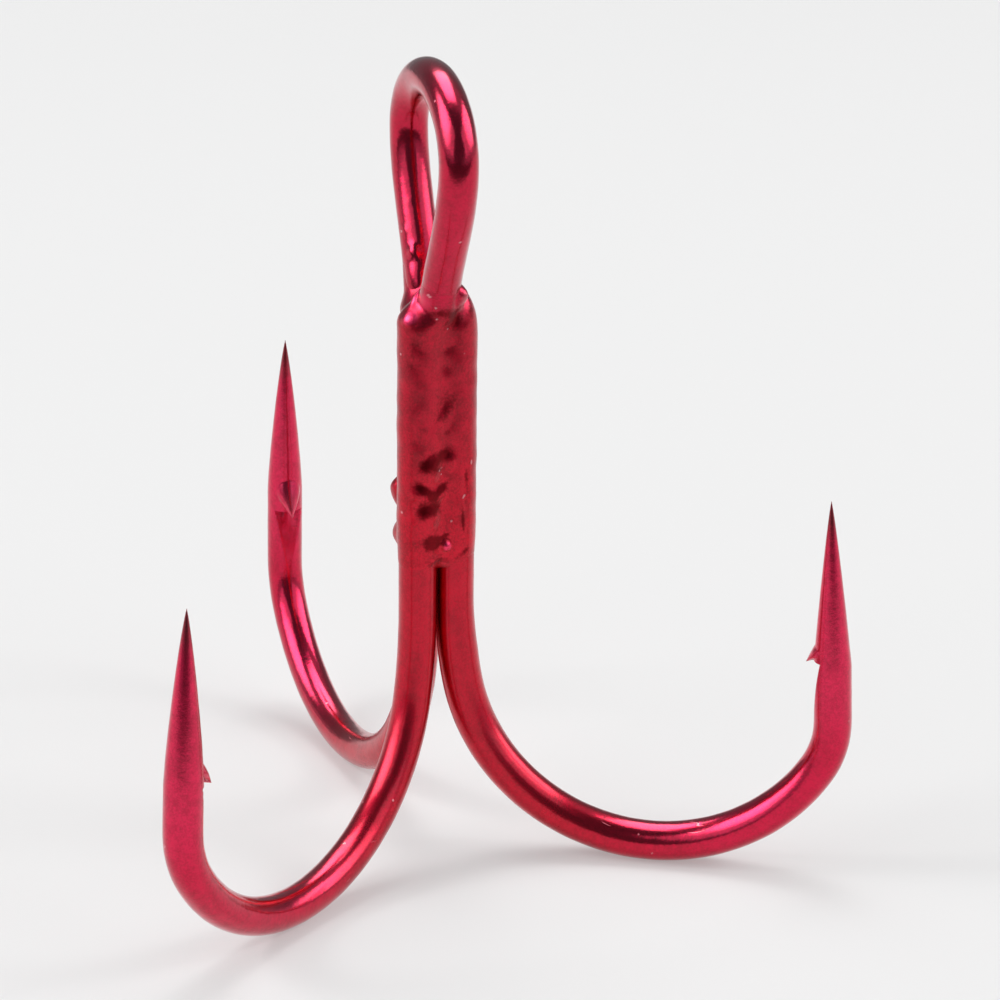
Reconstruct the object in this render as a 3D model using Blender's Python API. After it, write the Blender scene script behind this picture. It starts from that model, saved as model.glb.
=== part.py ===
"""Treble hook: a double hook and a single hook of round wire, brazed along their shanks.

The double hook is one wire. It rises from its first point, round the bend and up the shank,
makes the eye, and comes back down to its second point. The single hook is a second wire laid
in the groove of the first, with its plain cut end buried in the braze below the eye.

Frame: metres, +Z up along the shanks, origin in the middle of the eye. The eye lies in the
XZ plane, so its hole looks along Y, and the three bends stand on one level floor below it.
"""
import math

import bmesh
import bpy
from mathutils import Quaternion, Vector

MM = 0.001

# Driving dimensions: the wire
WIRE_DIAMETER = 1.30 * MM
WIRE_SIDES = 24

# Driving dimensions: the bundle of three shanks
SHANK_GAP = 0.11 * MM                 # braze between neighbouring shanks

# Driving dimensions: a round bend of four arcs, wide where it leaves the shank and tightest
# where it turns up into the point
LEAD_IN_RADIUS = 16.10 * MM
FIRST_BEND_RADIUS = 6.85 * MM
SECOND_BEND_RADIUS = 6.60 * MM
THIRD_BEND_RADIUS = 3.30 * MM
LEAD_IN_ARC = math.radians(11)
FIRST_ARC = math.radians(66)
SECOND_ARC = math.radians(72)
POINT_LEAN = math.radians(3.0)        # the point leans in towards the shank

# Driving dimensions: the needle point
POINT_LENGTH = 7.94 * MM              # straight wire from the bend to the tip
TAPER_LENGTH = 5.90 * MM
TAPER_POWER = 1.25
TAPER_ROUNDING = 0.85                 # below 1 the very tip is blunter than the taper
TIP_RADIUS = 0.025 * MM

# Driving dimensions: the barb, a sliver raised from the side of the point that faces the shank
BARB_FROM_TIP = 5.80 * MM             # free end of the sliver, measured down from the tip
BARB_LENGTH = 1.00 * MM
BARB_HALF_ANGLE = math.radians(45)    # half its width, as an angle round the wire
BARB_UNDERCUT = 0.32 * MM
BARB_CUT_DEPTH = 0.10 * MM
BARB_CUT_LENGTH = 0.80 * MM
BARB_CUT_STEP = 0.07 * MM             # from the free end to the root of the cut


class Hook:
    """One hook: where it points, how far its hand-set bend departs from the common one, how
    much further down its barb is cut, and how far the barb stands out."""

    def __init__(self, azimuth, longer_point, wider_bend, extra_lean, lower_barb, barb_height):
        self.azimuth = azimuth
        self.longer_point = longer_point
        self.wider_bend = wider_bend
        self.extra_lean = extra_lean
        self.lower_barb = lower_barb
        self.barb_height = barb_height


HOOK_A = Hook(math.radians(6.4), 0.70 * MM, 0.06 * MM, math.radians(-0.8), 0.62 * MM, 0.62 * MM)
HOOK_B = Hook(math.radians(127.8), -0.54 * MM, -0.36 * MM, math.radians(0.6), 0.30 * MM, 0.72 * MM)
SINGLE_HOOK = Hook(math.radians(-117.3), 0.0, 0.0, 0.0, 0.0, 0.38 * MM)

# Driving dimensions: the eye, whose widest level is the part's origin
EYE_CENTRE_HEIGHT = 25.10 * MM        # above the floor that the bends stand on
EYE_RISE = 2.80 * MM                  # from there to the top of the wire
EYE_HALF_WIDTH = 2.80 * MM            # from the eye's middle to the wire's centre
LEG_OPENING = 6.10 * MM               # height over which the legs open, from the neck up
NECK_GAP = 0.07 * MM                  # between the two legs at the neck

# Driving dimensions: the way from the shanks to the neck, where the legs turn into the eye's
# plane. The single hook ends where the turn starts.
TURN_BELOW_NECK = 1.60 * MM
TURN_ABOVE_NECK = 1.40 * MM

# Driving dimensions: the braze
BRAZE_BOTTOM = 10.85 * MM             # above the floor
SHOULDER_ABOVE_NECK = 0.35 * MM
COLLAR_HEIGHT = 1.15 * MM             # from the shoulder to the top of the collar
BRAZE_CLEARANCE = 0.012 * MM          # between a wire and its bore
BRAZE_FILM = 0.08 * MM                # braze that stands out past the wires
COLLAR_FILM = 0.05 * MM               # the same where it thins out round the neck
BOTTOM_FILM = 0.035 * MM              # and at its lower edge
BOTTOM_RUNOUT = 0.45 * MM             # height over which the lower edge thins out
COLLAR_FILL = 0.30 * MM               # how far the collar fills the groove beside the legs

# Facets
ARC_STEP = math.radians(6)
LEG_RINGS = 18
CROWN_RINGS = 20
TAPER_RINGS = 9
TAPER_CROWDING = 1.4                  # above 1 the rings crowd towards the tip
CORNER_STEPS = 7
FLAT_STEPS = 4
RUNOUT_RINGS = 4
BODY_RINGS = 20
SHOULDER_RINGS = 7
SMOOTH_ANGLE = math.radians(38)

# Sizes that follow from the ones above
WIRE_RADIUS = WIRE_DIAMETER / 2
SHANK_SPACING = WIRE_DIAMETER + SHANK_GAP
SHANK_OFFSET = SHANK_SPACING / math.sqrt(3)
NECK_HALF_WIDTH = (WIRE_DIAMETER + NECK_GAP) / 2
NECK_SHIFT = SHANK_OFFSET - NECK_HALF_WIDTH   # leg A stays in line with its shank
NECK_HEIGHT = EYE_CENTRE_HEIGHT - LEG_OPENING
LEG_TURN_START = NECK_HEIGHT - TURN_BELOW_NECK
LEG_TURN_END = NECK_HEIGHT + TURN_ABOVE_NECK
BRAZE_SHOULDER = NECK_HEIGHT + SHOULDER_ABOVE_NECK
BRAZE_TOP = BRAZE_SHOULDER + COLLAR_HEIGHT
UP = Vector((0, 0, 1))

# Beads and drips that froze on the braze: height, azimuth, half height, half angle, stand-out
BEADS = (
    (BRAZE_SHOULDER - 0.30 * MM, math.radians(186), 0.85 * MM, math.radians(42), 0.11 * MM),
    (BRAZE_BOTTOM + 2.20 * MM, math.radians(64), 0.80 * MM, math.radians(32), 0.34 * MM),
    (BRAZE_BOTTOM + 0.55 * MM, math.radians(72), 0.85 * MM, math.radians(34), 0.22 * MM),
)

# Colours of the lacquer, over the wire and over the braze
WIRE_RED = (0.50, 0.012, 0.045, 1.0)
BRAZE_RED = (0.42, 0.010, 0.030, 1.0)


def remove_scene_objects():
    """Empty the scene without closing the file."""
    for item in list(bpy.data.objects):
        bpy.data.objects.remove(item, do_unlink=True)


def lacquer(name, colour, roughness):
    """A coloured clear lacquer over bright metal."""
    material = bpy.data.materials.new(name)
    material.use_nodes = True
    shader = material.node_tree.nodes["Principled BSDF"]
    shader.inputs["Base Color"].default_value = colour
    shader.inputs["Metallic"].default_value = 0.9
    shader.inputs["Roughness"].default_value = roughness
    shader.inputs["Coat Weight"].default_value = 0.6
    return material


def smoothstep(value, start, end):
    """0 below start, 1 above end, with level ends."""
    share = min(max((value - start) / (end - start), 0.0), 1.0)
    return share * share * (3 - 2 * share)


def spread(start, end, steps):
    """Evenly spaced values from start to end, both included."""
    return [start + (end - start) * step / steps for step in range(steps + 1)]


def radial(azimuth):
    """Unit vector away from the axis."""
    return Vector((math.cos(azimuth), math.sin(azimuth), 0))


class Ring:
    """One section of a wire: its centre, the way the wire runs, the side that faces the inside
    of the bend, its radius, and where the barb moves it, how far out and how far to the bend."""

    def __init__(self, centre, along, inside, radius=WIRE_RADIUS, lift=0.0, shift=None):
        self.centre = centre
        self.along = along
        self.inside = inside
        self.radius = radius
        self.lift = lift
        self.shift = shift or Vector()

    def vertices(self, clearance=0.0):
        """The ring's corners, the first on its inside. The barb moves that one the most, and
        those beside it less, down to nothing at the barb's half angle."""
        side = self.along.cross(self.inside)
        corners = []
        for column in range(WIRE_SIDES):
            angle = 2 * math.pi * column / WIRE_SIDES
            out = self.inside * math.cos(angle) + side * math.sin(angle)
            share = max(0.0, 1 - abs(math.remainder(angle, 2 * math.pi)) / BARB_HALF_ANGLE)
            corner = self.centre + out * (self.radius + clearance + self.lift * share)
            corners.append(corner + self.shift * share)
        return corners


def point_radius(from_tip):
    """A slender ogive that runs out into the full wire."""
    share = min(from_tip / TAPER_LENGTH, 1.0)
    taper = (1 - (1 - share) ** TAPER_POWER) ** TAPER_ROUNDING
    return max(TIP_RADIUS, WIRE_RADIUS * taper)


def point_levels(hook):
    """Where the straight point has a ring, from the bend outwards: its distance from the tip,
    how far the barb lifts it, and how far it is moved towards the bend.

    The sliver rises evenly to its free end. Under it, the root of the cut reaches back towards
    the tip, and the cut runs out below.
    """
    free_end = BARB_FROM_TIP + hook.lower_barb
    sliver_top = free_end - BARB_LENGTH
    levels = [
        (free_end + BARB_CUT_STEP + BARB_CUT_LENGTH, 0.0, 0.0),
        (free_end + BARB_CUT_STEP, -BARB_CUT_DEPTH, -BARB_UNDERCUT),
        (free_end, hook.barb_height, 0.0),
        (sliver_top, 0.0, 0.0),
    ]
    taper_top = min(sliver_top, TAPER_LENGTH)
    for step in range(1, TAPER_RINGS + 1):
        levels.append((taper_top * (1 - step / TAPER_RINGS) ** TAPER_CROWDING, 0.0, 0.0))
    length = POINT_LENGTH + hook.longer_point
    return [level for level in levels if level[0] < length]


def bend_rings(hook):
    """Rings of one hook from the top of its bend to its tip, its lowest point on the floor.

    The centreline lies in the vertical plane at the hook's azimuth. Its heading starts at 0,
    straight down, passes 90 degrees, outwards, and ends past 180 degrees, up and leaning in.
    """
    turn = math.pi + POINT_LEAN + hook.extra_lean
    arcs = (
        (LEAD_IN_RADIUS, LEAD_IN_ARC),
        (FIRST_BEND_RADIUS + hook.wider_bend, FIRST_ARC),
        (SECOND_BEND_RADIUS, SECOND_ARC),
        (THIRD_BEND_RADIUS, turn - LEAD_IN_ARC - FIRST_ARC - SECOND_ARC),
    )
    reach, height, heading = SHANK_OFFSET, 0.0, 0.0
    stations = [(reach, height, heading, WIRE_RADIUS, 0.0, 0.0)]
    for radius, angle in arcs:
        steps = max(2, round(angle / ARC_STEP))
        step = angle / steps
        chord = 2 * radius * math.sin(step / 2)
        for _ in range(steps):
            reach += chord * math.sin(heading + step / 2)
            height -= chord * math.cos(heading + step / 2)
            heading += step
            stations.append((reach, height, heading, WIRE_RADIUS, 0.0, 0.0))
    for from_tip, lift, shift in point_levels(hook):
        along = POINT_LENGTH + hook.longer_point - from_tip
        place = (reach + along * math.sin(heading), height - along * math.cos(heading))
        stations.append((*place, heading, point_radius(from_tip), lift, shift))
    floor = min(station[1] for station in stations) - WIRE_RADIUS
    out = radial(hook.azimuth)
    rings = []
    for reach, height, heading, radius, lift, shift in stations:
        centre = out * reach + UP * (height - floor)
        along = out * math.sin(heading) - UP * math.cos(heading)
        inside = out * math.cos(heading) + UP * math.sin(heading)
        rings.append(Ring(centre, along, inside, radius, lift, along * -shift))
    return rings


def leg_centre(height, side, hook):
    """Centre of a leg of the eye: on its shank's line below, in the eye's plane above.

    side is 1 for leg A and -1 for leg B. The legs lie side by side at the neck and open to
    the eye's half width at its middle.
    """
    opened = smoothstep(height, NECK_HEIGHT, EYE_CENTRE_HEIGHT)
    half_width = NECK_HALF_WIDTH + (EYE_HALF_WIDTH - NECK_HALF_WIDTH) * opened
    middle = NECK_SHIFT * (1 - opened)
    in_plane = Vector((middle + side * half_width, 0, 0))
    turned = smoothstep(height, LEG_TURN_START, LEG_TURN_END)
    return radial(hook.azimuth) * SHANK_OFFSET * (1 - turned) + in_plane * turned + UP * height


def eye_centres():
    """Centreline of the eye, up leg A, round the crown and down leg B."""
    heights = spread(LEG_TURN_START, EYE_CENTRE_HEIGHT, LEG_RINGS)
    rise = EYE_RISE - WIRE_RADIUS
    crown = []
    for angle in spread(0, math.pi, CROWN_RINGS)[1:-1]:
        height = EYE_CENTRE_HEIGHT + rise * math.sin(angle)
        crown.append(Vector((EYE_HALF_WIDTH * math.cos(angle), 0, height)))
    leg_a = [leg_centre(height, 1, HOOK_A) for height in heights]
    leg_b = [leg_centre(height, -1, HOOK_B) for height in reversed(heights)]
    return leg_a + crown + leg_b


def eye_rings():
    """Rings of the eye. The frame is carried along the wire without twist, and the small angle
    by which it would miss the inside of hook B is shared out over the rings."""
    centres = eye_centres()
    rings = [Ring(centres[0], UP.copy(), radial(HOOK_A.azimuth))]
    last = len(centres) - 1
    for place in range(1, last + 1):
        along = -UP
        if place < last:
            along = (centres[place + 1] - centres[place - 1]).normalized()
        turn = rings[-1].along.rotation_difference(along)
        inside = turn @ rings[-1].inside
        inside = (inside - along * inside.dot(along)).normalized()
        rings.append(Ring(centres[place], along, inside))
    target = radial(HOOK_B.azimuth)
    end = rings[-1]
    miss = math.atan2(end.inside.cross(target).dot(end.along), end.inside.dot(target))
    for place, ring in enumerate(rings):
        ring.inside = Quaternion(ring.along, miss * place / last) @ ring.inside
    return rings


def reversed_rings(rings):
    """The same rings walked from the tip to the shank."""
    return [
        Ring(ring.centre, -ring.along, ring.inside, ring.radius, ring.lift, ring.shift)
        for ring in reversed(rings)
    ]


def double_hook_rings():
    """The double hook's one wire, from the tip of hook A to the tip of hook B."""
    return reversed_rings(bend_rings(HOOK_A)) + eye_rings() + bend_rings(HOOK_B)


def single_hook_rings():
    """The single hook's wire, from its cut end to its tip."""
    out = radial(SINGLE_HOOK.azimuth)
    top = Ring(out * SHANK_OFFSET + UP * LEG_TURN_START, -UP, out)
    return [top] + bend_rings(SINGLE_HOOK)


def tube_mesh(name, rows):
    """A closed tube: quads between neighbouring rows of corners and a cap on each end row."""
    work = bmesh.new()
    drop = UP * EYE_CENTRE_HEIGHT
    grid = [[work.verts.new(corner - drop) for corner in row] for row in rows]
    count = len(grid[0])
    for row, after in zip(grid, grid[1:]):
        for column in range(count):
            beside = (column + 1) % count
            work.faces.new((row[column], row[beside], after[beside], after[column]))
    work.faces.new(list(reversed(grid[0])))
    work.faces.new(grid[-1])
    bmesh.ops.recalc_face_normals(work, faces=list(work.faces))
    mesh = bpy.data.meshes.new(name)
    work.to_mesh(mesh)
    work.free()
    return mesh


def add_piece(name, mesh, material):
    """A finished piece in the scene, shaded smooth between its sharp edges."""
    piece = bpy.data.objects.new(name, mesh)
    bpy.context.scene.collection.objects.link(piece)
    mesh.materials.append(material)
    mesh.shade_smooth()
    mesh.set_sharp_from_angle(angle=SMOOTH_ANGLE)
    return piece


def add_wire(name, rings, material):
    return add_piece(name, tube_mesh(name, [ring.vertices() for ring in rings]), material)


def leg_stretch(height):
    """How much longer than the wire is wide a level cut through a leg is, as the legs lean out."""
    step = 0.05 * MM
    rise = leg_centre(height + step, 1, HOOK_A) - leg_centre(height - step, 1, HOOK_A)
    return math.hypot(rise.x, rise.z) / rise.z


def braze_corners(height):
    """Centres of the braze's three rounded corners at a height, anticlockwise, and their radius.

    Up to the shoulder they are the shanks' own centres. Above it the corners draw in on the two
    legs, and the third closes the groove that the single hook leaves beside them.
    """
    shoulder = min(max((height - BRAZE_SHOULDER) / (BRAZE_TOP - BRAZE_SHOULDER), 0.0), 1.0)
    drawn_in = 1 - (1 - shoulder) ** 2
    leg_a = leg_centre(height, 1, HOOK_A) - UP * height
    leg_b = leg_centre(height, -1, HOOK_B) - UP * height
    groove = (leg_a + leg_b) / 2 - Vector((0, COLLAR_FILL, 0))
    targets = (leg_a, leg_b, groove)
    centres = []
    for hook, target in zip((HOOK_A, HOOK_B, SINGLE_HOOK), targets):
        centres.append(radial(hook.azimuth) * SHANK_OFFSET * (1 - drawn_in) + target * drawn_in)
    risen = math.sin(min((height - BRAZE_BOTTOM) / BOTTOM_RUNOUT, 1.0) * math.pi / 2)
    film = BOTTOM_FILM + (BRAZE_FILM - BOTTOM_FILM) * risen
    film += (COLLAR_FILM - BRAZE_FILM) * shoulder
    return centres, WIRE_RADIUS * leg_stretch(height) + film


def bead_height(height, azimuth):
    """How far the frozen beads and drips stand out at a place on the braze."""
    total = 0.0
    for level, bearing, half_height, half_angle, stand_out in BEADS:
        turn = math.remainder(azimuth - bearing, 2 * math.pi)
        distance = math.hypot((height - level) / half_height, turn / half_angle)
        total += stand_out * (1 - smoothstep(distance, 0.0, 1.0))
    return total


def braze_row(height):
    """The braze's outline at a height: three arcs round the corners, joined by flats."""
    centres, radius = braze_corners(height)
    outline = []
    for place, centre in enumerate(centres):
        before = centre - centres[place - 1]
        after = centres[(place + 1) % 3] - centre
        start = math.atan2(before.y, before.x) - math.pi / 2
        turn = math.remainder(math.atan2(after.y, after.x) - math.pi / 2 - start, 2 * math.pi)
        arc = [centre + radial(angle) * radius for angle in spread(start, start + turn, CORNER_STEPS)]
        flat_end = arc[-1] + after
        flat = [arc[-1].lerp(flat_end, share) for share in spread(0, 1, FLAT_STEPS)[1:-1]]
        outline += arc + flat
    row = []
    for corner in outline:
        azimuth = math.atan2(corner.y, corner.x)
        row.append(corner + radial(azimuth) * bead_height(height, azimuth) + UP * height)
    return row


def braze_mesh(name):
    runout_end = BRAZE_BOTTOM + BOTTOM_RUNOUT
    heights = spread(BRAZE_BOTTOM, runout_end, RUNOUT_RINGS)
    heights += spread(runout_end, BRAZE_SHOULDER, BODY_RINGS)[1:]
    heights += spread(BRAZE_SHOULDER, BRAZE_TOP, SHOULDER_RINGS)[1:]
    return tube_mesh(name, [braze_row(height) for height in heights])


def cut_bore(piece, name, rings):
    """Cut the way of a wire, with the braze's clearance round it, out of a piece."""
    mesh = tube_mesh(name, [ring.vertices(BRAZE_CLEARANCE) for ring in rings])
    cutter = bpy.data.objects.new(name, mesh)
    bpy.context.scene.collection.objects.link(cutter)
    cutter.hide_render = True
    cutter.display_type = "WIRE"
    cut = piece.modifiers.new(name, "BOOLEAN")
    cut.operation = "DIFFERENCE"
    cut.solver = "EXACT"
    cut.object = cutter


def moved_to(ring, height):
    """The same ring at another height on its shank."""
    centre = Vector((ring.centre.x, ring.centre.y, height))
    return Ring(centre, ring.along, ring.inside)


def leg_bore(rings):
    """Rings of the way that one shank and leg take through the braze, from below it to above."""
    top = BRAZE_TOP + WIRE_DIAMETER
    foot = moved_to(rings[0], BRAZE_BOTTOM - WIRE_DIAMETER)
    return [foot] + [ring for ring in rings if ring.centre.z < top]


def build():
    remove_scene_objects()
    wire_finish = lacquer("red_lacquer", WIRE_RED, 0.22)
    braze_finish = lacquer("red_lacquer_on_braze", BRAZE_RED, 0.34)
    single = single_hook_rings()
    add_wire("double_hook", double_hook_rings(), wire_finish)
    add_wire("single_hook", single, wire_finish)
    braze = add_piece("braze", braze_mesh("braze"), braze_finish)
    eye = eye_rings()
    half = len(eye) // 2
    cut_bore(braze, "bore_leg_a", leg_bore(eye[:half]))
    cut_bore(braze, "bore_leg_b", leg_bore(eye[:half:-1]))
    blind_end = moved_to(single[0], LEG_TURN_START + BRAZE_CLEARANCE)
    open_end = moved_to(single[0], BRAZE_BOTTOM - WIRE_DIAMETER)
    cut_bore(braze, "bore_single", [blind_end, open_end])


build()
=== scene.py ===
# %% [markdown]
# # A treble hook in red lacquer
# A treble hook is two wires brazed together along their shanks. One wire is a double hook: it
# rises from its first point, makes the eye and comes back down to its second point. The other
# is a single hook laid in the groove of the first. The whole is dipped in clear red lacquer.
#
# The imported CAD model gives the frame: its three solids say where each piece is and how big it
# may be. This lesson makes the fine surface of each piece over its solid, works out the
# finishes, and lights the hook as small bright metal is lit in a studio.

# %% Load the frame
import math

import bpy
import numpy as np
from mathutils import Matrix, Vector


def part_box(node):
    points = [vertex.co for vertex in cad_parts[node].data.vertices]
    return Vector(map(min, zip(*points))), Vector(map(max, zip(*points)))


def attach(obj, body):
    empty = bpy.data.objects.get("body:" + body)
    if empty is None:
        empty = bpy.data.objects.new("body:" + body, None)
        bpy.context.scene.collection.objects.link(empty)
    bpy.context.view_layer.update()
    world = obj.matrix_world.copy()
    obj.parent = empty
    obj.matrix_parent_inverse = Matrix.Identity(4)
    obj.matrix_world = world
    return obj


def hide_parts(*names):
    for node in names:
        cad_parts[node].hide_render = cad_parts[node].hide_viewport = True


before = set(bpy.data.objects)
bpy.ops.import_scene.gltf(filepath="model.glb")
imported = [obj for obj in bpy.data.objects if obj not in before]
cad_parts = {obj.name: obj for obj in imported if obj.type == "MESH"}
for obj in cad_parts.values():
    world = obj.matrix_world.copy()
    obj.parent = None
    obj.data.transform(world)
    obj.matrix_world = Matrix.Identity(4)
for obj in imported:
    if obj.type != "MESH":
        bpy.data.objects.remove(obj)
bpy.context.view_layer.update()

MM = 0.001
FLOOR_HEIGHT = min(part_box(node)[0].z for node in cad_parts) / MM
print("nodes:", sorted(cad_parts), "floor at", round(FLOOR_HEIGHT, 3), "mm")

# %% [markdown]
# ## Sizes
# Lengths are in millimetres until a mesh is made, because a hook is a few wire diameters big
# and the numbers stay easy to read. Heights are measured from the floor that the three bends
# stand on, as a hook maker's gauge does, and the mesh helper moves them to the eye's middle,
# which is the frame's origin.
#
# Each bend is set by hand round a peg, so the three hooks share one set of sizes and differ
# from it by a few tenths of a millimetre and a degree or so.

# %% Sizes of the wire, the bends and the eye
WIRE_RADIUS = 0.65
SHANK_SPACING = 1.41
SHANK_OFFSET = SHANK_SPACING / math.sqrt(3)
POINT_LEAN = math.radians(3.0)
LEAD_IN = (16.10, math.radians(11))
FIRST_BEND = (6.85, math.radians(66))
SECOND_BEND = (6.60, math.radians(72))
THIRD_BEND_RADIUS = 3.30
POINT_LENGTH = 7.94
EYE_CENTRE = 25.10
EYE_RISE = 2.90
EYE_HALF_WIDTH = 2.80
NECK = 19.00
LEG_TURN = (17.40, 20.40)
NECK_HALF_WIDTH = 0.685
NECK_SHIFT = SHANK_OFFSET - NECK_HALF_WIDTH


class Barb:
    """A barb: where its free end is from the tip, its length, its height and its turn."""

    def __init__(self, end, length, height, turn):
        self.end = end
        self.length = length
        self.height = height
        self.turn = math.radians(turn)


class Hook:
    """Where one hook points, and how far its hand-set bend departs from the common one.

    Angles are in degrees. The taper is the power of the needle's curve.
    """

    def __init__(self, azimuth, longer_point, wider_bend, extra_lean, taper, barb):
        self.azimuth = math.radians(azimuth)
        self.length = POINT_LENGTH + longer_point
        self.wider_bend = wider_bend
        self.turn = math.pi + POINT_LEAN + math.radians(extra_lean)
        self.taper = taper
        self.barb = barb


HOOK_A = Hook(6.4, 0.70, 0.06, -0.8, 1.25, Barb(6.60, 1.24, 0.38, 5))
HOOK_B = Hook(127.8, -0.54, -0.36, 0.6, 1.25, Barb(5.94, 0.78, 0.43, -17))
SINGLE = Hook(-117.3, 0.0, 0.0, 0.0, 1.02, Barb(5.71, 0.54, 0.27, 0))
print("point lengths:", [round(hook.length, 2) for hook in (HOOK_A, HOOK_B, SINGLE)], "mm")

# %% [markdown]
# ## Small helpers for whole arrays
# Every surface below is a grid of points that numpy works out at once. One easing curve is
# used everywhere: a smooth step between two values.

# %% Easing and directions


def smoothstep(value, start, end):
    """0 before start, 1 after end, and 3t^2 - 2t^3 between them."""
    share = np.clip((value - start) / (end - start), 0.0, 1.0)
    return share * share * (3 - 2 * share)


def heading_vector(azimuth):
    """Level unit vectors at an angle round the upright axis."""
    azimuth = np.asarray(azimuth, float)
    return np.stack([np.cos(azimuth), np.sin(azimuth), np.zeros_like(azimuth)], axis=-1)


def half_turned(angle):
    """The same angle between minus and plus half a turn."""
    return np.remainder(angle + math.pi, 2 * math.pi) - math.pi


def unit(vectors):
    """Each vector divided by its own length."""
    return vectors / np.linalg.norm(vectors, axis=-1, keepdims=True)


print("smoothstep at a quarter:", float(smoothstep(0.25, 0, 1)))

# %% [markdown]
# ## From a grid to a closed mesh
# A wire and a braze are both closed skins with two ends: rows of points that close round, and
# a pole at each end. One helper builds that mesh. It checks which way the faces look by the
# signed volume, turns them if they look inwards, and marks the sharp edges.

# %% Faces of a skin


def skin_faces(rows, columns):
    """Corner numbers of the quads between rows, closed round, and of the fans to two poles."""
    row, column = np.meshgrid(np.arange(rows - 1), np.arange(columns), indexing="ij")
    beside = (column + 1) % columns
    quads = np.stack(
        [
            row * columns + column,
            row * columns + beside,
            (row + 1) * columns + beside,
            (row + 1) * columns + column,
        ],
        axis=-1,
    ).reshape(-1, 4)
    round_row = np.arange(columns)
    after = (round_row + 1) % columns
    first, last = rows * columns, rows * columns + 1
    start = np.stack([np.full(columns, first), after, round_row], axis=-1)
    end_row = (rows - 1) * columns
    end = np.stack([np.full(columns, last), end_row + round_row, end_row + after], axis=-1)
    return quads, np.concatenate([start, end])


def signed_volume(points, triangles):
    """A sixth of the sum of the corner triple products: positive if faces look outwards."""
    a, b, c = points[triangles[:, 0]], points[triangles[:, 1]], points[triangles[:, 2]]
    return float(np.sum(a * np.cross(b, c)) / 6)


print("quads and fans of 3 rings of 4:", [len(faces) for faces in skin_faces(3, 4)])

# %% The mesh helper
SHARP_ANGLE = math.radians(40)


def placed(name, data):
    """A new object of the scene, at the origin."""
    made = bpy.data.objects.new(name, data)
    bpy.context.scene.collection.objects.link(made)
    return made


def skin_object(name, grid, poles, values, material):
    """A closed skin from a rows x columns x 3 grid in millimetres above the floor.

    values holds named arrays, one number for each point of the grid.
    """
    rows, columns = grid.shape[:2]
    points = np.concatenate([grid.reshape(-1, 3), np.asarray(poles, float)])
    points = points - np.array([0.0, 0.0, EYE_CENTRE])
    quads, fans = skin_faces(rows, columns)
    triangles = np.concatenate([quads[:, :3], quads[:, [0, 2, 3]], fans])
    volume = signed_volume(points, triangles)
    if volume < 0:
        quads, fans = quads[:, ::-1], fans[:, ::-1]
    mesh = bpy.data.meshes.new(name)
    mesh.vertices.add(len(points))
    mesh.vertices.foreach_set("co", (points * MM).astype(np.float32).ravel())
    corners = np.concatenate([quads.ravel(), fans.ravel()]).astype(np.int32)
    starts = np.concatenate([
        np.arange(len(quads)) * 4,
        len(quads) * 4 + np.arange(len(fans)) * 3,
    ]).astype(np.int32)
    mesh.loops.add(len(corners))
    mesh.loops.foreach_set("vertex_index", corners)
    mesh.polygons.add(len(starts))
    mesh.polygons.foreach_set("loop_start", starts)
    mesh.update(calc_edges=True)
    for value_name, value in values.items():
        flat = np.asarray(value, np.float32).reshape(rows * columns, -1)
        kind = "FLOAT" if flat.shape[1] == 1 else "FLOAT_VECTOR"
        ends = np.stack([flat[:columns].mean(0), flat[-columns:].mean(0)])
        attribute = mesh.attributes.new(value_name, kind, "POINT")
        field = "value" if kind == "FLOAT" else "vector"
        attribute.data.foreach_set(field, np.concatenate([flat, ends]).ravel())
    mesh.shade_smooth()
    mesh.set_sharp_from_angle(angle=SHARP_ANGLE)
    mesh.materials.append(material)
    print(f"{name}: {len(triangles)} triangles, {abs(volume):.2f} cubic mm")
    return placed(name, mesh)


print("edges sharper than", round(math.degrees(SHARP_ANGLE)), "degrees stay sharp")

# %% [markdown]
# ## Shader maths as Python expressions
# Node trees are easier to read as formulas. A Value wraps the socket that a node puts out, and
# the arithmetic signs add Math nodes, so `1 - mask` or `rough + 0.1 * grain` works as written.
# Every other node comes from one method, which takes the node's type, its settings and what
# goes into its sockets. Colours are mixed by Mix nodes, because a Math node would turn them
# grey.

# %% The value class


class Value:
    """What a node puts out, with arithmetic."""

    def __init__(self, shading, socket):
        self.shading = shading
        self.socket = socket

    def maths(self, operation, *others):
        """A Math node on this value and the others."""
        inputs = dict(enumerate((self,) + others))
        return self.shading.node("ShaderNodeMath", {"operation": operation}, inputs)

    def __add__(self, other):
        return self.maths("ADD", other)

    def __sub__(self, other):
        return self.maths("SUBTRACT", other)

    def __rsub__(self, other):
        return (self * -1.0).maths("ADD", other)

    def __mul__(self, other):
        return self.maths("MULTIPLY", other)

    def __truediv__(self, other):
        return self.maths("DIVIDE", other)

    __radd__ = __add__
    __rmul__ = __mul__

    def eased(self, start, end):
        """0 before start and 1 after end, with a smooth step between, either way round."""
        settings = {"interpolation_type": "SMOOTHSTEP"}
        if start < end:
            inputs = {0: self, 1: start, 2: end, 3: 0.0, 4: 1.0}
        else:
            inputs = {0: self, 1: end, 2: start, 3: 1.0, 4: 0.0}
        return self.shading.node("ShaderNodeMapRange", settings, inputs)


print("a value understands + - * / and adds a Math node for each")

# %% The node tree and its one node method


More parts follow.
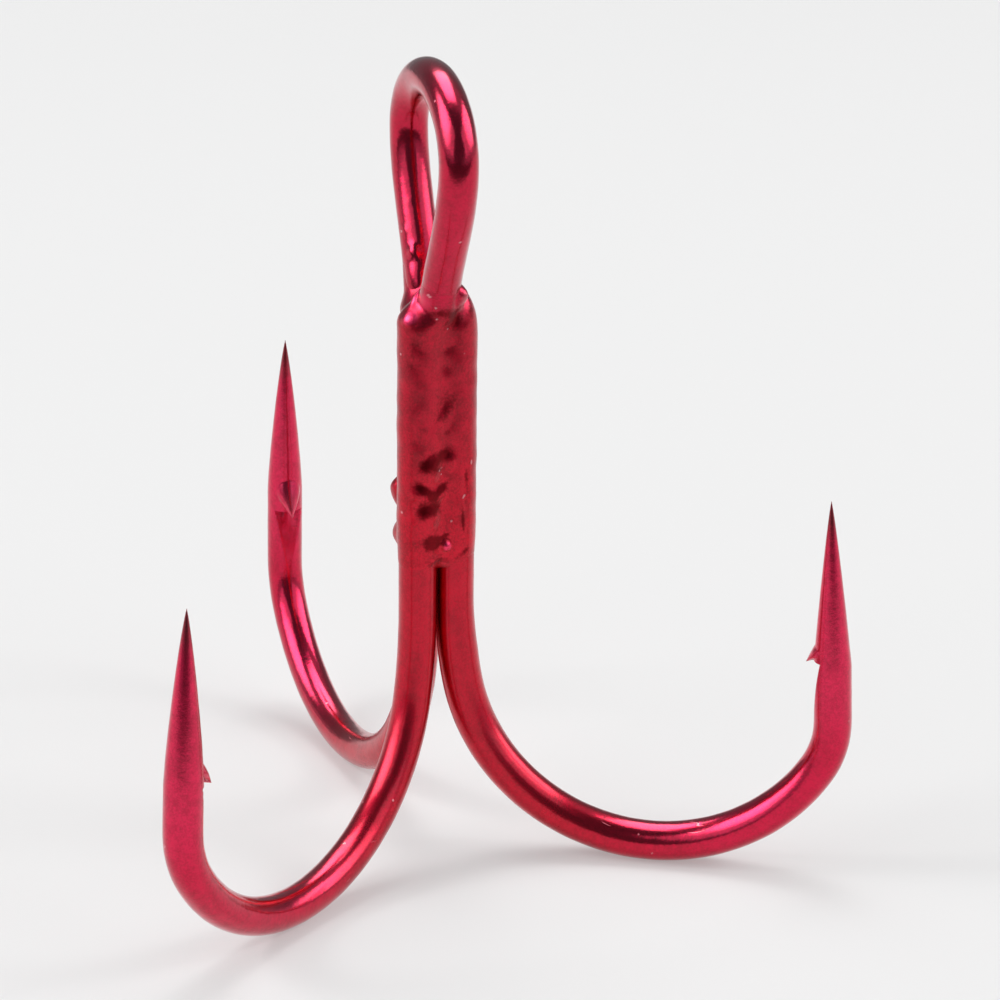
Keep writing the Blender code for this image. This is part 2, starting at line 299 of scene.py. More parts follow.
class Shading:
    """The node tree of one material or of the world."""

    def __init__(self, owner):
        owner.use_nodes = True
        self.tree = owner.node_tree
        self.tree.nodes.clear()

    def node(self, kind, settings=None, inputs=None, output=0):
        """One node: its settings first, then its sockets, and the output that is wanted."""
        made = self.tree.nodes.new(kind)
        for name, setting in (settings or {}).items():
            setattr(made, name, setting)
        for name, source in (inputs or {}).items():
            if isinstance(source, Value):
                self.tree.links.new(source.socket, made.inputs[name])
            else:
                made.inputs[name].default_value = source
        if made.outputs:
            return Value(self, made.outputs[output])

    def attribute(self, name, output=2):
        """A number that the mesh carries, or with output 1 a place."""
        return self.node("ShaderNodeAttribute", {"attribute_name": name}, None, output)

    def mixed(self, first, second, share):
        """A colour between two, by a share from 0 to 1."""
        inputs = {0: share, 6: first, 7: second}
        return self.node("ShaderNodeMix", {"data_type": "RGBA"}, inputs, output=2)

    def noise(self, place, scale, detail=2.0, roughness=0.5):
        """Cloudy noise from 0 to 1, with so many lumps to a metre."""
        inputs = {"Vector": place, "Scale": scale, "Detail": detail, "Roughness": roughness}
        return self.node("ShaderNodeTexNoise", None, inputs)

    def cells(self, place, scale, output=0):
        """Distance to the nearest of scattered points, or that point's own random colour."""
        inputs = {"Vector": place, "Scale": scale}
        return self.node("ShaderNodeTexVoronoi", None, inputs, output)

    def vector_maths(self, operation, first, second, output=0):
        """A Vector Math node on two vectors."""
        inputs = {0: first, 1: second}
        return self.node("ShaderNodeVectorMath", {"operation": operation}, inputs, output)

    def place(self):
        """The place on the piece, in metres from the frame's origin."""
        return self.node("ShaderNodeTexCoord", None, None, output=3)


print("shader helpers ready")

# %% [markdown]
# ## The finish of the wire
# Bright plated wire under a thin dyed lacquer looks like red metal: the metal's own reflection
# comes back through the dye, so it is tinted, and a faint white reflection comes straight off
# the lacquer. The Principled shader has both: a metallic base in the dye's red, and a coat.
#
# A dipped coat is never one red. It runs off the points and bends, where it is thin and pink,
# and gathers down the shanks, where it is deep and crimson and a little duller. So the red is
# mixed by the distance from the nearest tip, an attribute of the mesh. The freshly raised
# barbs are thinnest of all, and the very tips are browned by grinding.
#
# On top of that come three sizes of noise for its uneven depth, a fine orange peel in the
# bump, pale specks of dust, and a few hairline scratches round the bends. These patterns read
# object coordinates, and the streaks and scratches read the wire's own lay, an attribute that
# holds the place round the wire and along it.

# %% Helpers for both lacquers
# A deep red: random darker lacquer on both pieces, and on the braze also the colour of painted
# shade.
DEEP_RED_AND_PAINTED_SHADE = (0.120, 0.0020, 0.0045, 1.0)
# A pale pink: random dust specks and scratches on both pieces, and on the braze also painted
# glints.
DUST_AND_GLINT_PINK = (0.800, 0.3400, 0.3800, 1.0)
ALONG_WIRE = (1.0, 1.0, 0.12)
ALONG_SCRATCH = (1.0, 1.0, 0.14)


def dust_specks(shading, place, scale, share):
    """1 on a few small specks: near the middle of the cells whose own number is high."""
    ragged = shading.noise(place, scale * 2.5, 2.0, 0.7)
    distance = shading.cells(place, scale) + ragged * 0.30
    colour = shading.cells(place, scale, output=1)
    number = shading.node("ShaderNodeSeparateColor", None, {0: colour})
    return distance.eased(0.33, 0.20) * number.eased(1 - share, 1 - share + 0.01)


def hairlines(shading, lay):
    """1 on a few fine scratches: where a stretched noise crosses its middle, in some patches."""
    stretched = shading.vector_maths("MULTIPLY", lay, ALONG_SCRATCH)
    crossing = (shading.noise(stretched, 2.2, 1.0) - 0.5).maths("ABSOLUTE")
    patches = shading.noise(lay, 0.9, 2.0)
    return crossing.eased(0.010, 0.003) * patches.eased(0.60, 0.68)


def lacquered(shading, sockets, relief, strength, distance):
    """The shader of lacquer over metal, with the relief as a bump so many metres high."""
    bumped = shading.node("ShaderNodeBump", None, {
        "Strength": strength,
        "Distance": distance,
        "Height": relief,
    })
    shader = shading.node("ShaderNodeBsdfPrincipled", None, dict(sockets, Normal=bumped))
    shading.node("ShaderNodeOutputMaterial", None, {"Surface": shader})


print("specks, hairlines and the lacquer's shader ready")

# %% Lacquer on the wire
POINT_RED = (0.750, 0.0140, 0.0780, 1.0)
BEND_RED = (0.660, 0.0030, 0.0500, 1.0)
SHANK_RED = (0.600, 0.0025, 0.0240, 1.0)
EYE_RED = (0.590, 0.0030, 0.0420, 1.0)
THIN_RED = (0.860, 0.1000, 0.1700, 1.0)
BROWN = (0.150, 0.0260, 0.0260, 1.0)


def wire_lacquer(name):
    """Dyed clear lacquer over bright plated wire.

    Places along the wire are in millimetres from the nearest tip: the point ends near 8, the
    bend near 21, and the eye starts near 37.
    """
    material = bpy.data.materials.new(name)
    shading = Shading(material)
    place = shading.place()
    lay = shading.attribute("lay", 1)
    from_tip = shading.attribute("from_tip")
    raised = shading.attribute("raised")
    cloud = shading.noise(place, 900.0, 3.0)
    mottle = shading.noise(place, 3600.0, 2.0, 0.6)
    grain = shading.noise(place, 13000.0, 2.0, 0.7)
    streaks = shading.noise(shading.vector_maths("MULTIPLY", lay, ALONG_WIRE), 9.0, 2.0)
    on_bend = from_tip.eased(14.0, 15.0) * from_tip.eased(20.0, 19.0)
    scuffed = hairlines(shading, lay) * on_bend
    specks = dust_specks(shading, place, 2600.0, 0.05).maths("MAXIMUM", scuffed * 0.7)
    red = shading.mixed(SHANK_RED, BEND_RED, from_tip.eased(21.0, 13.0))
    red = shading.mixed(red, POINT_RED, from_tip.eased(9.5, 6.5))
    red = shading.mixed(red, EYE_RED, from_tip.eased(34.0, 37.0))
    red = shading.mixed(red, THIN_RED, raised.eased(0.1, 0.9) * 0.7)
    uneven = (cloud * 0.5 + mottle * 0.5 + grain * 0.9).eased(0.72, 1.25)
    red = shading.mixed(red, DEEP_RED_AND_PAINTED_SHADE, uneven * 0.36)
    browned = (from_tip + cloud * 1.6).eased(2.6, 1.2)
    red = shading.mixed(red, BROWN, browned * 0.75)
    red = shading.mixed(red, DUST_AND_GLINT_PINK, specks * 0.7)
    on_shank = from_tip.eased(16.0, 22.0) * from_tip.eased(41.0, 38.0)
    duller = on_shank + 0.6 * from_tip.eased(10.0, 6.5)
    rough = 0.09 + 0.13 * duller + 0.06 * cloud + 0.05 * mottle + 0.05 * grain + 0.3 * specks
    relief = mottle + grain * 0.35 + streaks * 0.35 + specks * 0.8
    sockets = {
        "Base Color": red,
        "Metallic": 1.0 - specks * 0.6,
        "Roughness": rough,
        "Coat Weight": 0.5,
        "Coat Roughness": 0.17,
    }
    lacquered(shading, sockets, relief, strength=0.7, distance=0.000011)
    return material


WIRE_LACQUER = wire_lacquer("lacquered_wire")
print("wire lacquer:", len(WIRE_LACQUER.node_tree.nodes), "nodes")

# %% [markdown]
# ## The bend and the point
# A round bend isn't one arc. The wire leaves the shank gently, turns through two wide arcs and
# then tightly up into the straight point. The centreline comes from its heading: the heading
# turns at one over the radius of the arc that the wire is in, and the place is the running sum
# of the heading's sine and cosine. Spring wire never changes its curvature all at once, so the
# turning is averaged over a short length first, and the highlights run through without a kink.

# %% Centreline of a bend
STEP = 0.01
EASING = 0.9
BEND_SWELL = 0.055


def averaged(values, length):
    """A running average, weighted by a raised cosine that is so many millimetres long."""
    count = int(length / STEP) | 1
    weights = 1 - np.cos(2 * np.pi * (np.arange(count) + 0.5) / count)
    return np.convolve(values, weights / weights.sum(), mode="same")


def bend_line(hook):
    """Reach and height of a hook's centreline, from the top of its bend to its tip.

    The heading starts straight down and ends past straight up, and the lowest point of the
    wire's skin stands on the floor.
    """
    last_arc = hook.turn - LEAD_IN[1] - FIRST_BEND[1] - SECOND_BEND[1]
    first = (FIRST_BEND[0] + hook.wider_bend, FIRST_BEND[1])
    arcs = (LEAD_IN, first, SECOND_BEND, (THIRD_BEND_RADIUS, last_arc))
    ends = np.cumsum([radius * angle for radius, angle in arcs])
    along = np.arange(0.0, ends[-1] + hook.length, STEP)
    turning = np.select([along < end for end in ends], [1 / radius for radius, _ in arcs], 0.0)
    heading = np.cumsum(averaged(turning, EASING)) * STEP
    reach = SHANK_OFFSET + np.cumsum(np.sin(heading)) * STEP
    height = -np.cumsum(np.cos(heading)) * STEP
    return reach, height - height.min() + WIRE_RADIUS * (1 + BEND_SWELL)


def hook_line(hook, top):
    """Centreline of a hook in space, from a height on its shank, round the bend to the tip."""
    reach, height = bend_line(hook)
    shank = np.arange(top, height[0], -STEP)
    reach = np.concatenate([np.full(len(shank), SHANK_OFFSET), reach])
    height = np.concatenate([shank, height])
    line = heading_vector(hook.azimuth) * reach[:, None]
    line[:, 2] = height
    return line


for hook in (HOOK_A, HOOK_B, SINGLE):
    print("reach of the bend:", round(float(bend_line(hook)[0].max()) + WIRE_RADIUS, 2), "mm")

# %% [markdown]
# ## The eye
# The double hook's wire leaves its two shanks just below the neck, where the legs turn into
# one plane side by side. From there they open to the eye's full width, and half an ellipse
# closes it at the top. The same formula gives a leg's centre at any height, so the braze can
# use it later to find the wires that it holds.

# %% Centreline of the eye
CROWN_POINTS = 900


def leg_line(height, side, hook):
    """Centre of a leg at each height: side is 1 for leg A and -1 for leg B.

    Below the turn it is the shank's own line. Above it the half width grows by a smooth step
    from the neck to the eye's middle, and the two blend over the length of the turn.
    """
    opened = smoothstep(height, NECK, EYE_CENTRE)
    turned = smoothstep(height, *LEG_TURN)[..., None]
    half_width = NECK_HALF_WIDTH + (EYE_HALF_WIDTH - NECK_HALF_WIDTH) * opened
    across = NECK_SHIFT * (1 - opened) + side * half_width
    in_plane = np.stack([across, np.zeros_like(across), np.zeros_like(across)], axis=-1)
    line = heading_vector(hook.azimuth) * SHANK_OFFSET * (1 - turned) + in_plane * turned
    line[..., 2] = height
    return line


def respaced(line):
    """The line with its points one step apart."""
    gaps = np.linalg.norm(np.diff(line, axis=0), axis=1)
    along = np.concatenate([[0.0], np.cumsum(gaps)])
    even = np.arange(0.0, along[-1], STEP)
    return np.stack([np.interp(even, along, column) for column in line.T], axis=1)


def eye_line():
    """Up leg A, over the crown and down leg B, with the joins between them eased."""
    height = np.arange(LEG_TURN[0], EYE_CENTRE, STEP)
    angle = np.linspace(0.0, math.pi, CROWN_POINTS)[1:-1]
    rise = EYE_RISE - WIRE_RADIUS
    crown = np.stack([
        EYE_HALF_WIDTH * np.cos(angle),
        np.zeros_like(angle),
        EYE_CENTRE + rise * np.sin(angle),
    ], axis=-1)
    leg_a, leg_b = leg_line(height, 1, HOOK_A), leg_line(height, -1, HOOK_B)
    line = respaced(np.concatenate([leg_a, crown, leg_b[::-1]]))
    margin = int(EASING / STEP)
    eased = np.stack([averaged(column, EASING) for column in line.T], axis=1)
    eased[:margin], eased[-margin:] = line[:margin], line[-margin:]
    return eased


def double_hook_line():
    """The double hook's one wire, from the tip of hook A to the tip of hook B."""
    hook_a = hook_line(HOOK_A, LEG_TURN[0])[::-1]
    hook_b = hook_line(HOOK_B, LEG_TURN[0])
    return respaced(np.concatenate([hook_a, eye_line(), hook_b]))


print("the double hook's wire is", round(len(double_hook_line()) * STEP, 1), "mm long")

# %% [markdown]
# ## The skin of a wire
# The skin is a ring carried along the centreline. Each ring needs two directions across the
# wire: one that faces the inside of the bend, and one to the side. They come from the normal
# of the plane that the wire bends in, which is level everywhere here: it points one way on
# hook A, turns a little for the eye, and turns again inside the braze for hook B. So no ring
# is worked out from the one before it, and the whole wire is one array.
#
# Rings lie close together where the shape is fine, at the tips and the barbs, and further
# apart along the shanks. A spacing is given for every place on the wire, and the rings are put
# where the running sum of one over the spacing passes a whole number. Round the wire the
# points crowd towards the inside of the bend, where the barb is.

# %% Rings along a wire
AROUND = 64
CROWDING = 0.42
USUAL_SPACING = 0.115
TIP_SPACING = 0.035
BARB_SPACING = 0.03
CUT_SPACING = 0.010
FINE_TIP = 1.2
PAST_BARB = 0.8
CUT_MIDDLE = 0.04
CUT_REACH = 0.10


def ring_spacing(from_tip, barb):
    """How far apart the rings are at a distance from a tip."""
    spacing = np.full_like(from_tip, USUAL_SPACING)
    spacing = np.where(from_tip < FINE_TIP, TIP_SPACING, spacing)
    near_barb = (from_tip > barb.end - barb.length) & (from_tip < barb.end + PAST_BARB)
    spacing = np.where(near_barb, BARB_SPACING, spacing)
    at_cut = np.abs(from_tip - barb.end - CUT_MIDDLE) < CUT_REACH
    return np.where(at_cut, CUT_SPACING, spacing)


class WireRings:
    """Rings along a centreline: place, run, inside and side of each, and its distance along."""

    def __init__(self, line, normal_azimuth, spacing):
        along = np.arange(len(line)) * STEP
        count = np.concatenate([[0.0], np.cumsum(STEP / spacing[:-1])])
        self.along = np.interp(np.arange(0, int(count[-1]) + 1), count, along)
        columns = np.column_stack([line, np.gradient(line, STEP, axis=0), normal_azimuth])
        carried = [np.interp(self.along, along, column) for column in columns.T]
        values = np.stack(carried, axis=1)
        self.centre = values[:, 0:3]
        self.run = unit(values[:, 3:6])
        normal = heading_vector(values[:, 6])
        normal = unit(normal - self.run * np.sum(normal * self.run, axis=1, keepdims=True))
        self.inside = np.cross(normal, self.run)
        self.side = np.cross(self.run, self.inside)
        self.length = along[-1]


print("rings round the wire:", AROUND)

# %% [markdown]
# ### The point
# The point is ground to a slender needle. Its profile is a power curve that starts with a
# rounded end and runs out into the full wire. Past the point the wire is a few hundredths
# thicker, because bending swells it and the lacquer gathers in the bend.

# %% Radius along the wire
TAPER_LENGTH = 5.9
TIP_ROUNDING = 0.84
BLUNT_TIP = 0.018
SHANK_SWELL = 0.070
SWELL_PLACES = (8.5, 12.5, 19.0, 23.0, 27.2, 29.0)
SWELLS = (0.0, BEND_SWELL, BEND_SWELL, SHANK_SWELL, SHANK_SWELL, 0.0)
OUT_OF_ROUND = 0.0012


def wire_radius(from_tip, taper):
    """R (1 - (1 - u)^p)^r, where u runs from 0 at the tip to 1 at the end of the taper."""
    share = np.clip(from_tip / TAPER_LENGTH, 0.0, 1.0)
    needle = np.maximum((1 - (1 - share) ** taper) ** TIP_ROUNDING, BLUNT_TIP)
    return WIRE_RADIUS * needle * (1 + np.interp(from_tip, SWELL_PLACES, SWELLS))


def handled(along, angle):
    """Three waves that run slowly round the wire and along it, as drawn wire is never round."""
    along, angle = along[:, None], angle[None, :]
    waves = np.sin(along * 2.1 + 2 * angle) + 0.8 * np.sin(along * 3.7 - angle + 1.3)
    return OUT_OF_ROUND * (waves + 0.9 * np.sin(along * 6.3 + 3 * angle + 0.7))


print("radius 3 mm from a tip:", round(float(wire_radius(np.array([3.0]), 1.25)[0]), 3), "mm")

# %% [markdown]
# ### The barb
# A chisel is driven into the inside of the point from the bend's side. It leaves a long flat
# cut in the wire and raises a sliver in front of it. The cut is flat, so round the wire its
# distance from the centre grows as one over the cosine of the angle until it meets the round
# skin again. The sliver is a leaf: it starts narrow and low nearest the tip, is widest a third
# of the way, and ends in a free spike.
#
# A spike that only stood up from its ring would have a square end. So its points are also
# moved along the wire: the higher they stand, the further they lean away from the tip, and the
# rings just past the spike are moved back under it, which hollows out its underside.

# %% Make a barb
CUT_LENGTH = 2.6
CUT_DEPTH = 0.25
UNDERCUT = 0.25
UNDERCUT_HALF_ANGLE = math.radians(30)
UNDERCUT_RUN = (0.0, 0.002, 0.62)
BARB_LEAN = 0.18
LEAF_HALF_ANGLE = math.radians(44)
SPIKE_HALF_ANGLE = 0.03


def barb_cut(reach, from_tip, angle, barb):
    """The skin after the flat cut, which is deepest at the barb and runs out behind it."""
    past = np.clip((from_tip - barb.end) / CUT_LENGTH, 0.0, 1.0)
    depth = np.where(from_tip > barb.end, CUT_DEPTH * (1 - past) ** 2, 0.0)[:, None]
    across = np.maximum(np.cos(half_turned(angle - barb.turn)), 0.3)[None, :]
    return np.minimum(reach, np.where(depth > 0, (reach - depth) / across, reach))


def barb_sliver(from_tip, angle, barb):
    """Height of the leaf over the skin: a ridge of parabolas, higher towards the free end."""
    share = np.clip((from_tip - barb.end + barb.length) / barb.length, 0.0, 1.0)
    half_angle = LEAF_HALF_ANGLE * np.sin(math.pi * share ** 0.62) ** 0.8
    half_angle = np.maximum(half_angle, SPIKE_HALF_ANGLE)
    across = half_turned(angle - barb.turn)[None, :] / half_angle[:, None]
    height = np.where(from_tip <= barb.end, barb.height * share, 0.0)
    return height[:, None] * np.clip(1 - across ** 2, 0.0, 1.0)


def barb_undercut(from_tip, angle, barb):
    """How far the rings just past the free end are moved towards the tip."""
    places = barb.end + np.array(UNDERCUT_RUN) * barb.length
    shift = np.interp(from_tip, places, [0.0, UNDERCUT * barb.length, 0.0])
    across = half_turned(angle - barb.turn)[None, :] / UNDERCUT_HALF_ANGLE
    return shift[:, None] * np.clip(1 - across ** 2, 0.0, 1.0)


def barb_lean(sliver, barb):
    """How far the leaf leans away from the tip: the square of its height over the spike's."""
    return BARB_LEAN * barb.length * (sliver / barb.height) ** 2


print("the barb of hook A is", HOOK_A.barb.length, "mm long")

# %% [markdown]
# ### Ring by ring
# The skin of a wire is its round body, cut and raised at each barb. Here and there a drop of
# filler metal ran up a leg of the eye and froze, and it is raised on the skin as a round mound.
# The skin comes with what its lacquer reads: the distance from the nearest tip, the lay of the
# drawn wire, and where a barb is raised.

# %% Make the skin of a wire


def mounds(along, angle, drops):
    """Sum of (1 - q^2)^2 mounds, q being the stretched distance from each drop's middle."""
    total = np.zeros((len(along), len(angle)))
    for place, bearing, half_length, half_width, height in drops:
        turn = half_turned(angle - math.radians(bearing))
        across = (turn * WIRE_RADIUS / half_width)[None, :]
        down = ((along - place) / half_length)[:, None]
        total += height * np.clip(1 - across ** 2 - down ** 2, 0.0, 1.0) ** 2
    return total


def wire_skin(rings, ends, drops=()):
    """The skin of a wire, and the values that its lacquer reads.

    ends lists each point as the distance of every ring from its tip, its hook, and 1 where the
    wire runs away from that tip or -1 where it runs towards it. A point of the skin lies at
    centre + reach (inside cos a + side sin a) + shift run.
    """
    even = np.linspace(-math.pi, math.pi, AROUND, endpoint=False)
    angle = even - CROWDING * np.sin(even)
    from_tip = np.min([distance for distance, _, _ in ends], axis=0)
    radius = np.min([wire_radius(distance, hook.taper) for distance, hook, _ in ends], axis=0)
    reach = radius[:, None] + handled(rings.along, angle) * (radius[:, None] / WIRE_RADIUS)
    shift = np.zeros_like(reach)
    raised = np.zeros_like(reach)
    for distance, hook, away in ends:
        reach = barb_cut(reach, distance, angle, hook.barb)
        sliver = barb_sliver(distance, angle, hook.barb)
        reach = reach + sliver
        raised = raised + sliver / hook.barb.height
        leaning = barb_lean(sliver, hook.barb) - barb_undercut(distance, angle, hook.barb)
        shift = shift + away * leaning
    reach = (reach + mounds(rings.along, angle, drops))[..., None]
    across = rings.inside[:, None] * np.cos(angle)[None, :, None]
    across = across + rings.side[:, None] * np.sin(angle)[None, :, None]
    grid = rings.centre[:, None] + across * reach + rings.run[:, None] * shift[..., None]
    ones = np.ones_like(raised)
    lay = np.stack([
        WIRE_RADIUS * np.cos(angle)[None, :] * ones,
        WIRE_RADIUS * np.sin(angle)[None, :] * ones,
        rings.along[:, None] * ones,
    ], axis=-1)
    return grid, {"from_tip": from_tip[:, None] * ones, "lay": lay, "raised": raised}


print("a wire's skin has", AROUND, "points in each ring")

# %% [markdown]
# ## The double hook
# The double hook is the wire that gives the treble its eye, so it is made first. Its plane
# normal eases from hook A's to the eye's and on to hook B's while the wire is inside the
# braze, where nobody sees it turn. Each frozen drop on its first leg has its height, its angle
# round the wire, its half length, its half width and how far it stands out.

# %% Make the double hook
EYE_TURN = (11.0, 17.0)
PAST_BEND = 25.0
LEG_DROPS = (
    (21.10, 142, 0.32, 0.30, 0.11),
    (20.30, 138, 0.95, 0.60, 0.09),
    (21.75, 120, 0.22, 0.14, 0.03),
    (22.60, 150, 0.16, 0.10, 0.02),
)


def double_hook():
    """The wire with two points: from the tip of hook A, through the eye, to that of hook B."""
    line = double_hook_line()
    total = len(line) * STEP
    along = np.arange(len(line)) * STEP
    height = line[:, 2]
    first_half = along < total / 2
    in_eye = smoothstep(height, *EYE_TURN)
    normal_a = HOOK_A.azimuth + math.pi / 2
    normal_b = HOOK_B.azimuth - math.pi / 2
    shank = np.where(first_half, normal_a, normal_b)
    past_bends = (along > PAST_BEND) & (along < total - PAST_BEND)
    normal = shank + (math.pi / 2 - shank) * in_eye * past_bends
    spacing = np.where(
        first_half,
        ring_spacing(along, HOOK_A.barb),
        ring_spacing(total - along, HOOK_B.barb),
    )
    rings = WireRings(line, normal, spacing)
    ends = ((rings.along, HOOK_A, 1.0), (rings.length - rings.along, HOOK_B, -1.0))
    rising = first_half & (np.arange(len(line)) >= round(PAST_BEND / STEP))
    drops = []
    for level, *drop in LEG_DROPS:
        drops.append((np.interp(level, height[rising], along[rising]), *drop))
    grid, values = wire_skin(rings, ends, drops)
    return skin_object("double_hook_wire", grid, (line[0], line[-1]), values, WIRE_LACQUER)


piece = double_hook()
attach(piece, "root")
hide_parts("double_hook")

# %% [markdown]
# ## The single hook
# The single hook is the same bend on a wire of its own. Its shank ends, cut square, in the
# braze below the eye.

# %% Make the single hook


def single_hook():
    """The wire with one point, from its plain end in the braze to its tip."""
    line = respaced(hook_line(SINGLE, LEG_TURN[0]))
    total = len(line) * STEP
    along = np.arange(len(line)) * STEP
    normal = np.full(len(line), SINGLE.azimuth - math.pi / 2)
    rings = WireRings(line, normal, ring_spacing(total - along, SINGLE.barb))
    ends = ((rings.length - rings.along, SINGLE, -1.0),)
    grid, values = wire_skin(rings, ends)
    return skin_object("single_hook_wire", grid, (line[0], line[-1]), values, WIRE_LACQUER)


piece = single_hook()
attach(piece, "root")
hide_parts("single_hook")

# %% [markdown]
# ## The finish of the braze
# The same lacquer covers the braze, but the filler metal under it froze rough, so its lacquer
# is a little darker and duller, with more specks. Dark patches of painted shade, almost brown,
# are painted among the lumps, and bright pink patches of painted highlight on the crowns of some
# small ones. Both are places, not noise, so the mesh carries them as an attribute: it is above
# nothing where shade is painted and below nothing where a highlight is painted. A second
# attribute says where dust lies and where glints are painted.

# %% Lacquer on the braze
LOW_BRAZE_RED = (0.620, 0.0025, 0.0230, 1.0)
HIGH_BRAZE_RED = (0.530, 0.0025, 0.0240, 1.0)
# A hot pink for the painted highlights on the braze.
PAINTED_HIGHLIGHT_PINK = (0.920, 0.0350, 0.1200, 1.0)


def braze_lacquer(name):
    """Dyed clear lacquer over the frozen filler metal.

    Heights are in metres from the middle of the eye, as object coordinates are.
    """
    material = bpy.data.materials.new(name)
    shading = Shading(material)
    place = shading.place()
    # The painted light that the mesh carries: painted shade above nothing, painted highlight
    # below nothing.
    depth = shading.attribute("painted_shade_and_highlight")
    cloud = shading.noise(place, 1000.0, 3.0)
    mottle = shading.noise(place, 3000.0, 3.0, 0.6)
    grain = shading.noise(place, 12000.0, 2.0, 0.7)
    specks = dust_specks(shading, place, 2900.0, 0.05)
    # Pale specks: random dust, and on top of it glints painted at listed places.
    specks = specks.maths("MAXIMUM", shading.attribute("dust_and_painted_glints") * 1.6 - 0.3 * mottle)
    specks = specks.maths("MINIMUM", 1.0).maths("MAXIMUM", 0.0)
    # Masks of the painted shade (dark patches) and of the painted highlight (hot pink patches).
    painted_shade_and_highlight = (depth + mottle * 0.9 + grain * 0.3).eased(0.72, 1.40)
    painted_highlight = (depth - mottle * 0.4).eased(-0.25, -0.95)
    uneven = (cloud * 0.8 + mottle * 0.8 + grain * 0.9).eased(0.95, 1.60)
    height = shading.node("ShaderNodeSeparateXYZ", None, {0: place}, output=2)
    red = shading.mixed(LOW_BRAZE_RED, HIGH_BRAZE_RED, height.eased(-0.0125, -0.0080))
    red = shading.mixed(red, EYE_RED, height.eased(-0.0058, -0.0050))
    red = shading.mixed(red, DEEP_RED_AND_PAINTED_SHADE, uneven * 0.50)
    # Painted shade, then painted highlight, are mixed into the red.
    red = shading.mixed(red, DEEP_RED_AND_PAINTED_SHADE, painted_shade_and_highlight * 0.84)
    red = shading.mixed(red, PAINTED_HIGHLIGHT_PINK, painted_highlight * 0.85)
    red = shading.mixed(red, DUST_AND_GLINT_PINK, specks * 0.6)
    sockets = {
        "Base Color": red,
        "Metallic": 1.0 - specks * 0.6,
        "Roughness": 0.20 + 0.10 * cloud + 0.08 * mottle + 0.05 * grain + 0.2 * specks,
        # The coat is thinner under the painted shade, which darkens it further.
        "Coat Weight": 0.45 - 0.35 * painted_shade_and_highlight,
        "Coat Roughness": 0.20,
    }
    relief = mottle + grain * 0.3 + specks
    lacquered(shading, sockets, relief, strength=0.8, distance=0.000010)
    return material


BRAZE_LACQUER = braze_lacquer("lacquered_braze")
print("braze lacquer:", len(BRAZE_LACQUER.node_tree.nodes), "nodes")

# %% [markdown]
# ## The braze
# Molten filler metal runs into the grooves between the wires, wets them and freezes. Its skin
# is where a smooth minimum of the distances to the wires equals the thickness of the film, and
# a smooth minimum rounds the grooves off just as surface tension does. There are two such
# skins. The sleeve is cast round the three straight shanks and ends in a ledge below the eye.
# The neck is a thin film that the two legs of the eye carry a little further up.

# %% Distances to the wires


def distance_to_line(points, centre, slope):
    """Distance from a wire's skin, from its centre and its slope at the same height."""
    run = unit(slope)
    offset = points - centre
    offset = offset - run * np.sum(offset * run, axis=-1, keepdims=True)
    return np.linalg.norm(offset, axis=-1) - WIRE_RADIUS


def shank_distances(points):
    """Distances from the skins of the three straight shanks."""
    found = []
    for hook in (HOOK_A, HOOK_B, SINGLE):
        shank = heading_vector(hook.azimuth) * SHANK_OFFSET
        level = np.hypot(points[..., 0] - shank[0], points[..., 1] - shank[1])
        found.append(level - WIRE_RADIUS)
    return np.stack(found)


def leg_distances(points):
    """Distances from the skins of the two legs of the eye."""
    height = points[..., 2]
    found = []
    for side, hook in ((1, HOOK_A), (-1, HOOK_B)):
        centre = leg_line(height, side, hook)
        slope = leg_line(height + 0.02, side, hook) - leg_line(height - 0.02, side, hook)
        found.append(distance_to_line(points, centre, slope))
    return np.stack(found)


def smooth_minimum(distances, rounding):
    """The least of the distances, rounded off where two of them are nearly equal."""
    return -rounding * np.log(np.sum(np.exp(-distances / rounding), axis=0))


print("at the axis:", np.round(shank_distances(np.array([0.0, 0.0, 15.0])), 3), "mm")

# %% [markdown]
# ### Lumps, painted shade and highlights, and dust
# The filler froze with lumps and hollows in it. Each one here has its height, its azimuth, how
# far it reaches up and down and to either side, its tilt and how far it stands out. A lump
# that falls away faster upwards shows a dark upper flank, which is how the real ones catch the
# eye, so reach up and reach down are separate numbers. The same kind of row says where shade is
# painted, where a highlight is painted, which has a strength below nothing, and where dust and
# painted glints lie.

# %% Heights of the braze, and its lumps
BRAZE_BOTTOM = 10.75
LEDGE = 19.68
NECK_TOP = 20.55
SLEEVE_FILM = 0.045
NECK_FILM = 0.035
SLEEVE_RADIUS = 1.25

